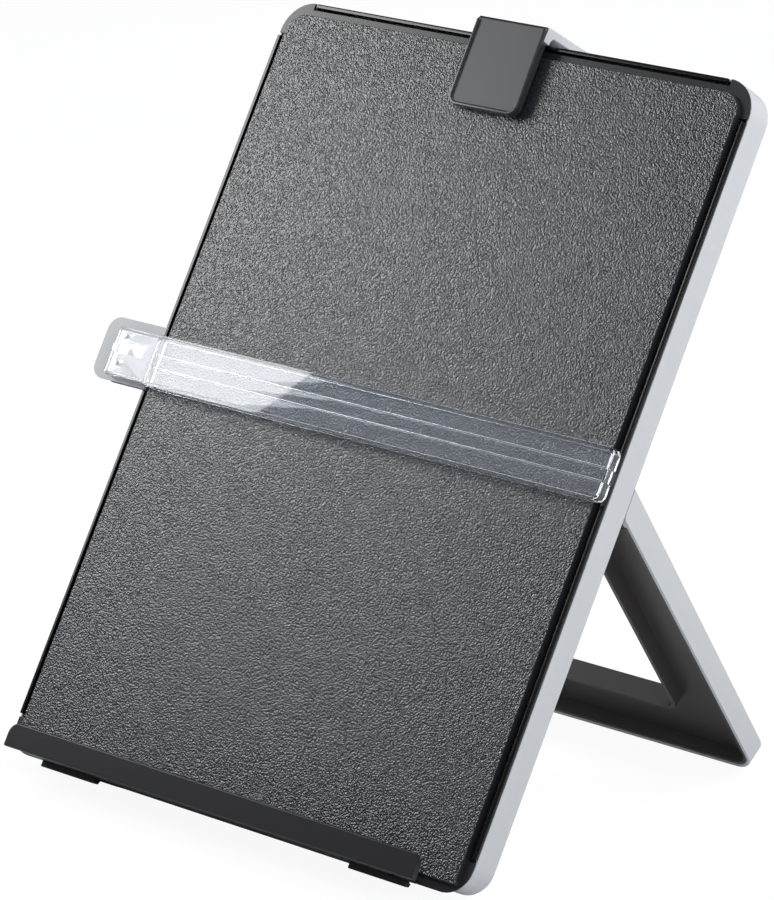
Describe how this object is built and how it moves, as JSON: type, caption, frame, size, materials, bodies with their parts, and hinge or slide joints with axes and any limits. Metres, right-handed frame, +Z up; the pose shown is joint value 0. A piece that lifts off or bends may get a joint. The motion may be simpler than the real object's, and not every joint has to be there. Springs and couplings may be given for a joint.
{
  "type": "copy holder",
  "caption": "Leaning desk copy holder with a paper ledge, a sprung top clip, a folding rear leg and a clear line guide that slides up and down the board.",
  "frame": {"origin": "bottom centre of the bounding box, on the table under the holder", "axes": "+X across the board to the right seen from the front, +Y from the ledge to the rear leg, +Z up"},
  "size_m": [0.2678, 0.2183, 0.2946],
  "materials": {
    "silver": "silver-grey moulded plastic, satin",
    "grained_black": "moulded leather grain, satin",
    "black": "fine matt moulded",
    "ledge_black": "smooth satin moulded",
    "liner_black": "smooth satin moulded",
    "gloss_black": "gloss rim, satin face",
    "clear": "clear, transparent, polished",
    "frosted": "frosted translucent grey",
    "rubber": "matt",
    "steel": "zinc-plated"
  },
  "bodies": {
    "board": {"rear_shell": "silver", "front_panel": "grained_black", "side_rails": "black", "top_rail": "black", "panel_screws": "steel", "ledge": "ledge_black", "ledge_screws": "steel", "ledge_feet": "rubber", "hinge_brackets": "black", "bracket_screws": "steel", "hinge_pins": "steel", "friction_washers": "steel", "clip_bracket": "black", "clip_bracket_screws": "steel", "clip_pin": "steel", "clip_spring": "steel"},
    "easel_leg": {"leg_shell": "silver", "leg_liner": "liner_black", "liner_screws": "steel", "leg_pads": "rubber"},
    "clip": {"clip_arm": "silver", "clip_jaw": "gloss_black", "clip_pad": "rubber"},
    "line_guide": {"guide_bar": "clear", "guide_tab": "frosted", "guide_slider": "black", "guide_hook": "black", "guide_pins": "steel", "guide_friction_pads": "rubber"}
  },
  "joints": [
    {"name": "leg_hinge", "type": "hinge", "parent": "board", "child": "easel_leg", "pos_m": [0.0137, 0.00547, 0.13171], "axis": [-1, 0, 0], "range_deg": [0, 67]},
    {"name": "clip_hinge", "type": "hinge", "parent": "board", "child": "clip", "pos_m": [0.0137, 0.09749, 0.27114], "axis": [-1, 0, 0], "range_deg": [0, 18], "stiffness_Nm_per_rad": 0.25, "springref_deg": -34.38, "deforming": ["clip_spring"]},
    {"name": "guide_slide", "type": "slide", "parent": "board", "child": "line_guide", "axis": [0, 0.5373, 0.8434], "range_m": [-0.143, 0.117]}
  ]
}
